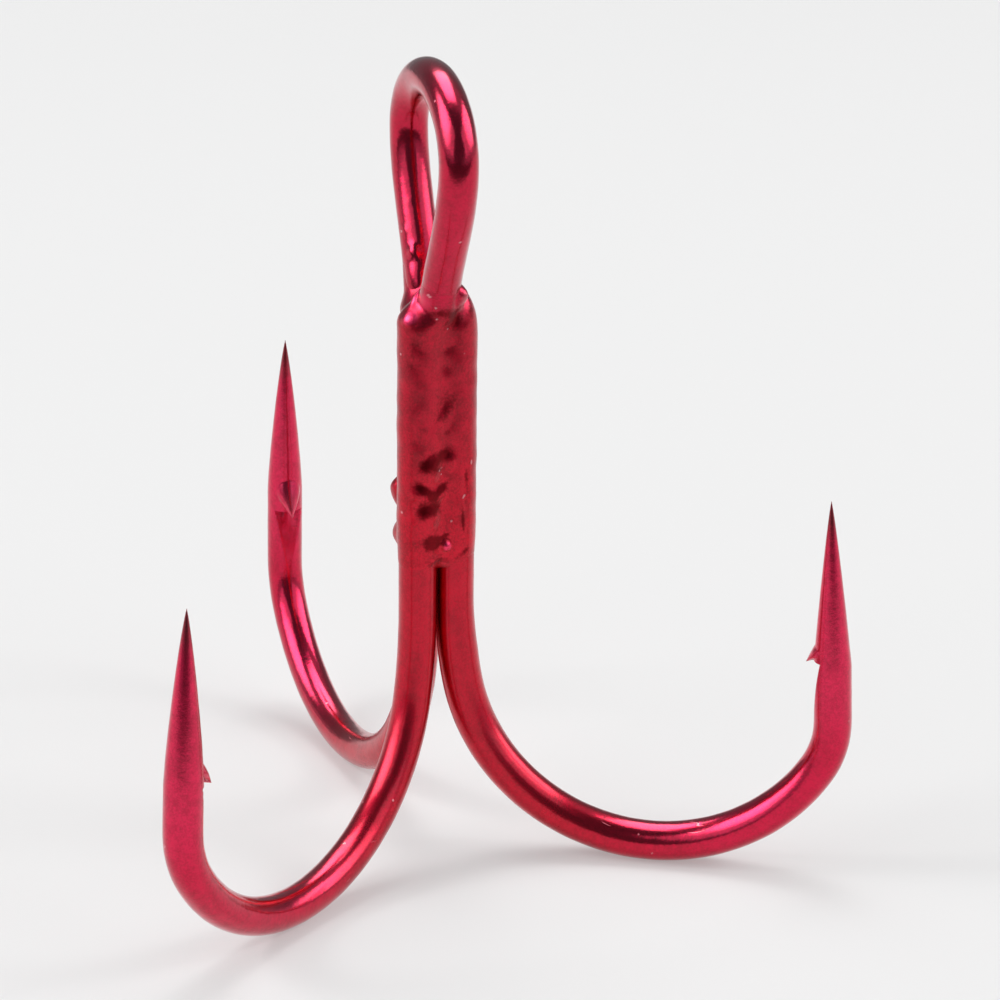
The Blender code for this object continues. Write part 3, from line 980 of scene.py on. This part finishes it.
SLEEVE_LUMPS = (
    (14.20, 163, 0.80, 0.60, 0.46, -24, 0.075),
    (14.40, 196, 0.42, 0.40, 0.26, -10, 0.040),
    (13.35, 150, 0.50, 0.30, 0.50, -30, 0.055),
    (13.30, 176, 0.46, 0.34, 0.50, 30, 0.055),
    (12.50, 160, 0.62, 0.50, 0.50, 8, 0.080),
    (11.42, 190, 0.32, 0.30, 0.28, 0, 0.090),
    (11.02, 172, 0.16, 0.30, 0.55, 8, 0.035),
    (13.10, 218.5, 1.30, 1.30, 0.07, 3, -0.030),
    (15.90, 182, 0.90, 0.90, 0.40, -27, 0.035),
    (17.90, 134, 1.40, 1.30, 0.40, 0, 0.012),
    (17.70, 196, 0.90, 0.90, 0.70, 0, 0.012),
    (19.15, 172, 0.60, 0.90, 0.85, 0, 0.060),
    (19.54, 128, 0.30, 0.34, 0.32, 0, 0.060),
    (13.12, 64, 0.72, 1.10, 0.50, 0, 0.340),
    (11.55, 72, 0.85, 0.70, 0.60, 0, 0.250),
    (13.90, 330, 0.70, 0.90, 0.50, 20, 0.100),
    (16.60, 20, 0.60, 0.90, 0.60, -20, 0.080),
    (11.90, 300, 0.50, 0.50, 0.50, 0, 0.120),
    (18.20, 285, 0.70, 0.80, 0.45, 10, 0.060),
)
NECK_LUMPS = (
    (20.30, 213, 0.46, 0.72, 0.42, 0, 0.270),
    (20.08, 120, 0.46, 0.50, 0.26, 0, 0.150),
    (19.25, 66, 1.10, 0.60, 1.00, 0, 0.210),
    (20.22, 158, 0.40, 0.36, 0.50, 0, 0.040),
)
print("lumps:", len(SLEEVE_LUMPS) + len(NECK_LUMPS))

# %% Painted shade and painted highlights, and dust with painted glints
# Painted shade where a row's strength is above nothing, painted highlight where it is below.
PAINTED_SHADE_AND_HIGHLIGHT_PLACES = (
    (14.50, 164, 0.56, 0.56, 0.62, -20, 1.00),
    (14.74, 188, 0.34, 0.34, 0.44, 0, 0.90),
    (13.58, 154, 0.26, 0.26, 0.66, -46, 1.00),
    (13.50, 178, 0.26, 0.26, 0.70, 34, 1.00),
    (12.90, 160, 0.50, 0.50, 0.66, 6, 1.00),
    (11.62, 166, 0.50, 0.46, 0.50, 0, 1.30),
    (11.80, 188, 0.16, 0.16, 0.36, 20, 0.90),
    (13.75, 220, 1.00, 1.00, 0.09, 5, 0.70),
    (12.25, 215.5, 1.00, 1.00, 0.09, 3, 0.70),
    (11.15, 218, 0.15, 0.15, 0.42, 40, 0.70),
    (16.40, 186, 1.30, 1.30, 0.60, -27, 0.42),
    (18.45, 138, 1.60, 1.60, 0.40, 0, 0.26),
    (15.50, 192, 0.18, 0.18, 0.24, 0, 0.50),
    (19.76, 182, 0.26, 0.26, 0.95, 0, 0.75),
    (19.38, 199, 0.46, 0.46, 0.66, 12, 0.85),
    (20.10, 100, 0.70, 0.60, 0.30, 0, 1.00),
    (19.60, 230, 0.36, 0.40, 0.30, 0, 0.70),
    (19.58, 131, 0.32, 0.32, 0.34, 20, -1.30),
    (20.18, 120, 0.40, 0.40, 0.24, 0, -1.20),
    (20.16, 146, 0.50, 0.50, 0.60, 10, -0.55),
    (11.44, 192, 0.24, 0.24, 0.22, 0, -1.40),
    (10.90, 176, 0.24, 0.24, 0.90, 4, 0.60),
    (16.00, 60, 0.70, 0.70, 0.45, 20, 0.60),
    (13.20, 300, 0.80, 0.60, 0.45, -15, 0.80),
    (17.40, 330, 0.60, 0.60, 0.70, 10, 0.60),
    (12.20, 20, 0.45, 0.60, 0.60, 0, 0.90),
)
# Pale specks and patches at listed places: painted glints, and dust.
DUST_AND_GLINT_PLACES = (
    (14.20, 176, 0.06, 0.06, 0.05, 0, 1.0),
    (14.05, 180, 0.04, 0.05, 0.05, 0, 0.9),
    (14.28, 182, 0.04, 0.03, 0.03, 0, 0.8),
    (13.17, 217, 0.06, 0.06, 0.12, 55, 1.0),
    (14.35, 228, 0.12, 0.14, 0.05, 0, 1.0),
    (12.72, 121, 0.08, 0.08, 0.07, 0, 0.9),
    (12.33, 199, 0.07, 0.07, 0.06, 0, 0.8),
    (19.58, 169, 0.05, 0.05, 0.06, 0, 0.9),
    (19.16, 189, 0.05, 0.05, 0.05, 0, 0.8),
    (20.42, 158, 0.06, 0.06, 0.14, -30, 1.0),
    (20.10, 213, 0.60, 0.60, 0.36, 0, 0.60),
    (13.00, 66, 0.50, 0.80, 0.36, 0, 0.35),
    (15.60, 100, 0.05, 0.05, 0.05, 0, 0.9),
    (17.10, 300, 0.07, 0.05, 0.06, 0, 0.9),
)
# Counts of the rows of painted shade and highlight, and of dust and painted glints.
print("pools and thin spots:", len(PAINTED_SHADE_AND_HIGHLIGHT_PLACES), "specks of dust:", len(DUST_AND_GLINT_PLACES))

# %% Height of a list of lumps


def lump_height(lumps, height, azimuth):
    """Sum of smooth mounds, each (1 - q^2)^2 in the stretched distance q from its middle."""
    total = np.zeros_like(height)
    for level, bearing, reach_up, reach_down, half_width, tilt, stand_out in lumps:
        across = half_turned(azimuth - math.radians(bearing)) * SLEEVE_RADIUS
        up = height - level
        cos, sin = math.cos(math.radians(tilt)), math.sin(math.radians(tilt))
        wide, tall = across * cos + up * sin, up * cos - across * sin
        tall = tall / np.where(tall > 0, reach_up, reach_down)
        total = total + stand_out * np.clip(1 - (wide / half_width) ** 2 - tall ** 2, 0, 1) ** 2
    return total


MIDDLE = lump_height(SLEEVE_LUMPS[:1], np.array(14.20), math.radians(163))
print("the first lump stands out", round(float(MIDDLE), 3), "mm at its middle")

# %% Shallow waves
RIPPLE_SIZE = 0.009
RIPPLE_COUNT = 20
RIPPLE_SEED = 5


def ripple(height, azimuth):
    """Sum of shallow waves that run every way, each a sine of height and azimuth.

    A wave is the lower the shorter it is, as on metal that froze while it ran.
    """
    draw = np.random.default_rng(RIPPLE_SEED)
    upward = draw.uniform(1.5, 9.0, RIPPLE_COUNT)
    turns = draw.integers(-9, 10, RIPPLE_COUNT)
    starts = draw.uniform(0, 2 * math.pi, RIPPLE_COUNT)
    sizes = RIPPLE_SIZE / np.hypot(upward, turns / SLEEVE_RADIUS)
    total = np.zeros_like(height)
    for rise, turn, start, size in zip(upward, turns, starts, sizes):
        total = total + size * np.sin(rise * height + turn * azimuth + start)
    return total


print("ripple at one place:", round(float(ripple(np.array(15.0), 0.0)), 4), "mm")

# %% [markdown]
# ### The film
# Each film has its own thickness along its length and dives below the wires at its ends, so
# that its edges are thin and wander a little, as wetted edges do. The sleeve's ledge rolls off
# more gently at the back right, where the filler climbed, and sits lower at the back left.

# %% Thickness of the two films
SLEEVE_ROUNDING = 0.30
NECK_ROUNDING = 0.22
JOIN_ROUNDING = 0.08
NECK_START = 19.5
LOW_LEDGE_AZIMUTH = math.radians(88)
GENTLE_LEDGE_AZIMUTH = math.radians(228)


def sleeve_film(height, azimuth):
    """Film on the shanks: it thins out at a wandering bottom edge and ends in the ledge."""
    bottom = BRAZE_BOTTOM + 0.10 * np.sin(2 * azimuth + 0.4) + 0.05 * np.sin(5 * azimuth)
    low = smoothstep(np.cos(azimuth - LOW_LEDGE_AZIMUTH), 0.35, 1.0)
    ledge = LEDGE - 0.14 * low + 0.03 * np.sin(4 * azimuth + 1.0)
    gentle = smoothstep(np.cos(azimuth - GENTLE_LEDGE_AZIMUTH), 0.5, 0.95)
    roll = 0.46 + 0.34 * gentle
    beyond = np.clip(bottom + 0.2 - height, 0.0, 1.5) ** 2
    gone = np.clip((height - ledge + roll - 0.10) / roll, 0.0, 3.0) ** 2
    feathered = smoothstep(height, bottom - 0.1, bottom + 1.2)
    film = (SLEEVE_FILM + ripple(height, azimuth)) * feathered
    started = smoothstep(height, bottom - 0.1, bottom + 0.3)
    lumps = lump_height(SLEEVE_LUMPS, height, azimuth) * started
    return film + lumps - 0.6 * beyond - 0.16 * gone


def neck_film(height, azimuth):
    """Film on the legs of the eye, thin and a little bumpy, which thins out as it climbs."""
    top = NECK_TOP + 0.12 * np.sin(azimuth + 0.6) + 0.05 * np.sin(3 * azimuth + 1.0)
    feathered = 1 - smoothstep(height, top - 0.7, top + 0.3)
    beyond = np.clip(height - top, 0.0, 2.0) ** 2
    return NECK_FILM * feathered + lump_height(NECK_LUMPS, height, azimuth) - 0.5 * beyond


def braze_value(points):
    """Below nothing inside the braze and above nothing outside it."""
    height = points[..., 2]
    azimuth = np.arctan2(points[..., 1], points[..., 0])
    sleeve = smooth_minimum(shank_distances(points), SLEEVE_ROUNDING)
    sleeve = sleeve - sleeve_film(height, azimuth)
    neck = smooth_minimum(leg_distances(points), NECK_ROUNDING) - neck_film(height, azimuth)
    neck = neck + 0.7 * np.clip(NECK_START - height, 0.0, 2.0) ** 2
    return smooth_minimum(np.stack([sleeve, neck]), JOIN_ROUNDING)


print("value at the axis:", round(float(braze_value(np.array([0.0, 0.0, 15.0]))), 3))

# %% [markdown]
# ### Finding the skin
# Rays go out from the bundle's axis, level along the sleeve and fanning up or down to a pole at
# each end. A ray starts inside the braze and ends outside it. Walking out in short steps finds
# the first step that leaves the braze, and halving that step finds the skin, for all rays at
# once.

# %% Make the braze
ROWS = 400
ROUND = 232
LEVEL_ROWS = (0.06, 0.90)
LEVEL_SPAN = (BRAZE_BOTTOM + 0.45, LEDGE + 0.32)
POLE_TILT = 88.0
STRIDE = 0.05
STRIDES = 60
HALVINGS = 16


def braze_rays():
    """Starts and directions of the rays: fanned at the ends and level between them."""
    share = np.linspace(0.0, 1.0, ROWS)
    level = np.interp(share, LEVEL_ROWS, LEVEL_SPAN)[:, None]
    tilt = np.interp(share, (0.0, *LEVEL_ROWS, 1.0), (-POLE_TILT, 0.0, 0.0, POLE_TILT))
    tilt = np.radians(tilt)[:, None]
    azimuth = np.linspace(-math.pi, math.pi, ROUND, endpoint=False)
    ones = np.ones((ROWS, ROUND))
    start = np.stack([0 * ones, 0 * ones, level * ones], axis=-1)
    cos = np.cos(tilt)
    way = np.stack([cos * np.cos(azimuth), cos * np.sin(azimuth), np.sin(tilt) * ones], axis=-1)
    return start, way


def braze_grid():
    """Where each ray leaves the braze: strides out to the first step past it, then halvings."""
    start, way = braze_rays()
    inner = np.zeros(way.shape[:2])
    walking = np.ones(way.shape[:2], bool)
    for _ in range(STRIDES):
        ahead = braze_value(start + way * (inner + STRIDE)[..., None]) < 0
        walking = walking & ahead
        inner = np.where(walking, inner + STRIDE, inner)
    outer = inner + STRIDE
    for _ in range(HALVINGS):
        middle = (inner + outer) / 2
        inside = braze_value(start + way * middle[..., None]) < 0
        inner = np.where(inside, middle, inner)
        outer = np.where(inside, outer, middle)
    return start + way * inner[..., None]


def braze():
    """The filler metal round the shanks and the neck, with its painted shade and highlights, and
    its dust and painted glints.
    """
    grid = braze_grid()
    azimuth = np.arctan2(grid[..., 1], grid[..., 0])
    values = {
        # The two attributes: painted shade and highlight, and dust with painted glints.
        "painted_shade_and_highlight": lump_height(PAINTED_SHADE_AND_HIGHLIGHT_PLACES, grid[..., 2], azimuth),
        "dust_and_painted_glints": lump_height(DUST_AND_GLINT_PLACES, grid[..., 2], azimuth),
    }
    poles = (grid[0].mean(axis=0), grid[-1].mean(axis=0))
    return skin_object("braze_sleeve", grid, poles, values, BRAZE_LACQUER)


piece = braze()
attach(piece, "root")
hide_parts("braze")

# %% [markdown]
# ## The studio
# Small bright metal is a mirror, so what it looks like is what stands round it. The floor is
# plain white paper, which makes every upright side of the wire an even crimson. Two soft boxes
# stand left and right and a third hangs high at the back, and the room between them is dark,
# which draws the dark bands beside the highlights. The camera sees only the paper.
#
# Places in the room are given as a bearing, clockwise from straight behind the hook as the
# camera sees it, and an elevation.

# %% Directions in the room
CAMERA_TURN = math.radians(108.255)


def room_axes(bearing, elevation):
    """Unit vectors towards a place in the room, to its right and upwards across it."""
    azimuth = math.pi / 2 - math.radians(bearing) - CAMERA_TURN
    tilt = math.radians(elevation)
    cos, sin = math.cos(azimuth), math.sin(azimuth)
    towards = (math.cos(tilt) * cos, math.cos(tilt) * sin, math.sin(tilt))
    up = (-math.sin(tilt) * cos, -math.sin(tilt) * sin, math.cos(tilt))
    return towards, (sin, -cos, 0.0), up


def along_axis(shading, way, axis):
    """Dot product of a place or a direction and an axis."""
    return shading.vector_maths("DOT_PRODUCT", way, axis, output=1)


FRONT = room_axes(180.0, 0.0)[0]
print("the camera's side is towards", np.round(FRONT, 3))

# %% [markdown]
# ### The paper
# A Light Path node tells who is looking. The camera, and rays that come off the metal, see the
# paper nearly in its written colour, and the rest of it takes the lamps' light and keeps the
# shadow. Past a line a little in front of the hook, rays that come off the metal see the paper
# dark, so a dark band is painted into the reflections on the undersides of the bends. The camera
# sees white paper there.

# %% The paper floor
PAPER = (0.880, 0.880, 0.882, 1.0)
PAPER_GREY = (0.80, 0.80, 0.80, 1.0)
# Dark that only glossy rays see past a line in front of the hook: a painted dark reflection.
PAINTED_DARK_REFLECTION = (0.12, 0.12, 0.12, 1.0)
PAPER_SIZE = 2.0
# Where, in metres towards the camera, the painted dark reflection fades in.
DARK_REFLECTION_START = (0.042, 0.074)
OWN_COLOUR = 0.35
CAMERA_RAY, GLOSSY_RAY, PASSED_RAY = 0, 3, 6


def ray_kind(shading, kind):
    """1 for rays of one kind: the camera's, off something glossy, or through something."""
    return shading.node("ShaderNodeLightPath", None, None, kind)


def seen_rays(shading):
    """1 for the rays that show a backdrop: the camera's, mirrored and passed on ones."""
    mirrored = ray_kind(shading, CAMERA_RAY).maths("MAXIMUM", ray_kind(shading, GLOSSY_RAY))
    return mirrored.maths("MAXIMUM", ray_kind(shading, PASSED_RAY))


def paper_floor():
    """A wide sheet of white paper that also shows in the metal, and keeps its shadows."""
    floor = FLOOR_HEIGHT * MM
    corners = [(-1, -1), (1, -1), (1, 1), (-1, 1)]
    corners = [(x * PAPER_SIZE, y * PAPER_SIZE, floor) for x, y in corners]
    mesh = bpy.data.meshes.new("paper_floor")
    mesh.from_pydata(corners, [], [(0, 1, 2, 3)])
    material = bpy.data.materials.new("white_paper")
    shading = Shading(material)
    diffuse = shading.node("ShaderNodeBsdfDiffuse", None, {"Color": PAPER_GREY})
    glow = shading.node("ShaderNodeEmission", None, {"Color": PAPER, "Strength": 1.0})
    share = seen_rays(shading) * OWN_COLOUR
    paper = shading.node("ShaderNodeMixShader", None, {0: share, 1: diffuse, 2: glow})
    forward = along_axis(shading, shading.place(), FRONT)
    # Past that line glossy rays see dark instead of paper: a dark band painted into the
    # reflections.
    dark_reflection_share = forward.eased(*DARK_REFLECTION_START) * ray_kind(shading, GLOSSY_RAY)
    dark_reflection = shading.node("ShaderNodeEmission", None, {"Color": PAINTED_DARK_REFLECTION, "Strength": 1.0})
    surface = shading.node("ShaderNodeMixShader", None, {0: dark_reflection_share, 1: paper, 2: dark_reflection})
    shading.node("ShaderNodeOutputMaterial", None, {"Surface": surface})
    mesh.materials.append(material)
    return placed("paper_floor", mesh)


paper_floor()
print("floor at", round(FLOOR_HEIGHT, 2), "mm")

# %% [markdown]
# ### The soft boxes
# A soft box is a lamp behind a white cloth, brighter in its middle. It does two jobs: it lights
# the paper, and its face is mirrored in the wire. The two are made apart, so that each can be
# set without the other. Area lamps, one wide and one small for each box, light the paper and
# stay out of the metal. The faces that the metal sees are painted on a dome further down.

# %% The lamps that light the paper
LAMP_AIM = (0.0, 0.0, -0.010)


def soft_box(name, bearing, elevation, width, height, radiance, distance=0.5):
    """A lamp that faces the hook and looks so many degrees wide and high from there."""
    way = np.array(room_axes(bearing, elevation)[0])
    lamp = bpy.data.lights.new(name, "AREA")
    lamp.shape = "RECTANGLE"
    lamp.size = 2 * distance * math.tan(math.radians(width / 2))
    lamp.size_y = 2 * distance * math.tan(math.radians(height / 2))
    lamp.energy = radiance * math.pi * lamp.size * lamp.size_y
    box = placed(name, lamp)
    box.location = np.array(LAMP_AIM) + way * distance
    box.rotation_euler = Vector(-way).to_track_quat("-Z", "Y").to_euler()
    box.visible_glossy = False
    print(f"{name}: {lamp.energy:.2f} W")


soft_box("left_box", 252, 35, 60, 44, 1.5)
soft_box("left_box_middle", 268, 38, 17, 12, 10.0, 0.48)
soft_box("right_box", 102, 33, 68, 42, 1.4)
soft_box("right_box_middle", 95, 36, 17, 12, 7.5, 0.48)
soft_box("top_box", 5, 70, 44, 36, 2.0)
soft_box("top_box_middle", 5, 72, 16, 13, 6.5, 0.48)

# %% [markdown]
# ### The dark room
# The dome stands for everything round the table that the metal mirrors: dim walls, a lighter
# ceiling at the back, a low pale strip at the sides, and the three soft boxes. A box face is
# drawn in its own flat view: a direction's parts to the right and upwards, divided by its part
# towards the box, are compared with half the box's width and height. No lamp's light comes
# from the dome, as only glossy rays see it.

# %% How bright the room is in each direction
CLOTH_LIGHT = 1.1
TOP_CLOTH_LIGHT = 0.9


def box_face(shading, way, bearing, elevation, width, height):
    """1 on the face of a soft box, which is so many degrees wide and high, with a soft edge."""
    towards, right, up = room_axes(bearing, elevation)
    ahead = along_axis(shading, way, towards)
    face = ahead.eased(0.02, 0.10)
    for axis, span in ((right, width), (up, height)):
        share = (along_axis(shading, way, axis) / ahead).maths("ABSOLUTE")
        face = (share / math.tan(math.radians(span / 2))).eased(1.08, 0.88) * face
    return face


def box_middle(shading, way, bearing, elevation, reach):
    """The brighter middle of a soft box, which fades out so many degrees from its centre."""
    near = along_axis(shading, way, room_axes(bearing, elevation)[0])
    return near.eased(math.cos(math.radians(reach)), 1.0)


def room_light(shading, way):
    """How bright the room is in a direction."""
    height = shading.node("ShaderNodeSeparateXYZ", None, {0: way}, output=2)
    facing = along_axis(shading, way, FRONT)
    walls = 0.15 + 0.12 * facing.eased(0.5, -0.2)
    ceiling = 0.32 * height.eased(0.50, 0.85) * facing.eased(0.35, -0.1)
    sides = 1 - (facing * facing).eased(0.55, 1.00)
    strip = 0.45 * height.eased(0.25, 0.05) * sides * facing.eased(-0.8, -0.2)
    left = CLOTH_LIGHT + 5.0 * box_middle(shading, way, 254, 35, 34)
    right = CLOTH_LIGHT + 3.4 * box_middle(shading, way, 84, 34, 34)
    top = TOP_CLOTH_LIGHT + 5.6 * box_middle(shading, way, 350, 69, 36)
    light = walls + ceiling + strip
    light = light + box_face(shading, way, 241, 30, 72, 46) * left
    light = light + box_face(shading, way, 103, 30, 72, 43) * right
    return light + box_face(shading, way, 346, 70, 42, 50) * top


print("light of the cloth: sides", CLOTH_LIGHT, "top", TOP_CLOTH_LIGHT)

# %% The dome that the metal mirrors
COOL_WHITE = (0.76, 0.98, 1.0)
DOME_RADIUS = 1.2
DOME_TURNS = 64
DOME_RISES = 24
DOME_SPAN = (-8.0, 88.0)


def dark_room():
    """A dome that only the metal sees: a dim room with the faces of the three soft boxes."""
    turn = np.linspace(0.0, 2 * math.pi, DOME_TURNS, endpoint=False)[None, :]
    rise = np.radians(np.linspace(*DOME_SPAN, DOME_RISES))[:, None]
    grid = DOME_RADIUS * np.stack([
        np.cos(rise) * np.cos(turn),
        np.cos(rise) * np.sin(turn),
        np.sin(rise) + 0 * turn,
    ], axis=-1)
    quads, fans = skin_faces(DOME_RISES, DOME_TURNS)
    poles = [[0, 0, -0.15 * DOME_RADIUS], [0, 0, DOME_RADIUS]]
    points = np.concatenate([grid.reshape(-1, 3), poles])
    mesh = bpy.data.meshes.new("dark_room")
    mesh.from_pydata(points.tolist(), [], quads.tolist() + fans[DOME_TURNS:].tolist())
    dome = placed("dark_room", mesh)
    dome.visible_camera = False
    dome.visible_diffuse = False
    dome.visible_shadow = False
    dome.visible_transmission = False
    material = bpy.data.materials.new("dark_room")
    shading = Shading(material)
    way = shading.node("ShaderNodeVectorMath", {"operation": "NORMALIZE"}, {0: shading.place()})
    light = room_light(shading, way)
    colour = shading.node("ShaderNodeVectorMath", {"operation": "SCALE"}, {
        0: COOL_WHITE,
        "Scale": light,
    })
    glow = shading.node("ShaderNodeEmission", None, {"Color": colour, "Strength": 1.0})
    shading.node("ShaderNodeOutputMaterial", None, {"Surface": glow})
    mesh.materials.append(material)
    print("room light:", len(material.node_tree.nodes), "nodes")
    return dome


dark_room()

# %% The air round it
AIR_LIGHT = (0.15, 0.15, 0.15, 1.0)


def pale_surroundings():
    """A pale backdrop for the camera and the metal, and a soft even light for the rest."""
    world = bpy.data.worlds.new("pale_surroundings")
    bpy.context.scene.world = world
    shading = Shading(world)
    light = shading.node("ShaderNodeBackground", None, {"Color": AIR_LIGHT})
    backdrop = shading.node("ShaderNodeBackground", None, {"Color": PAPER})
    share = seen_rays(shading)
    surface = shading.node("ShaderNodeMixShader", None, {0: share, 1: light, 2: backdrop})
    shading.node("ShaderNodeOutputWorld", None, {"Surface": surface})


pale_surroundings()
print("surroundings ready")

# %% [markdown]
# ## The camera
# The hook is seen from a little above, from so far away that the near hook is only slightly
# larger than the far one. The camera looks at a point just right of the shanks and half way up
# them, and it was held a little askew.

# %% Place the camera
CAMERA_ELEVATION = math.radians(20.55)
CAMERA_DISTANCE = 122.29
CAMERA_ROLL = math.radians(0.661)
CAMERA_AIM = (2.313, 0.0, 12.775)
SENSOR_WIDTH = 36.0
LENS = 129.888


def place_camera():
    """A long lens: back from its aim along its own view, rolled, then turned round the hook."""
    back = np.array([0.0, -math.cos(CAMERA_ELEVATION), math.sin(CAMERA_ELEVATION)])
    right = np.array([1.0, 0.0, 0.0])
    up = np.cross(back, right)
    rolled_right = right * math.cos(CAMERA_ROLL) + up * math.sin(CAMERA_ROLL)
    rolled_up = up * math.cos(CAMERA_ROLL) - right * math.sin(CAMERA_ROLL)
    cos, sin = math.cos(-CAMERA_TURN), math.sin(-CAMERA_TURN)
    turned = np.array([[cos, -sin, 0.0], [sin, cos, 0.0], [0.0, 0.0, 1.0]])
    place = turned @ (np.array(CAMERA_AIM) + back * CAMERA_DISTANCE)
    pose = np.eye(4)
    pose[:3, :3] = turned @ np.stack([rolled_right, rolled_up, back], axis=1)
    pose[:3, 3] = (place - np.array([0.0, 0.0, EYE_CENTRE])) * MM
    lens = bpy.data.cameras.new("camera")
    lens.sensor_width = SENSOR_WIDTH
    lens.lens = LENS
    lens.clip_start = 0.001
    lens.clip_end = 10.0
    camera = placed("camera", lens)
    camera.matrix_world = Matrix(pose.tolist())
    bpy.context.scene.camera = camera
    print("lens", round(lens.lens, 1), "mm")


place_camera()
bpy.context.scene.view_settings.view_transform = "Standard"
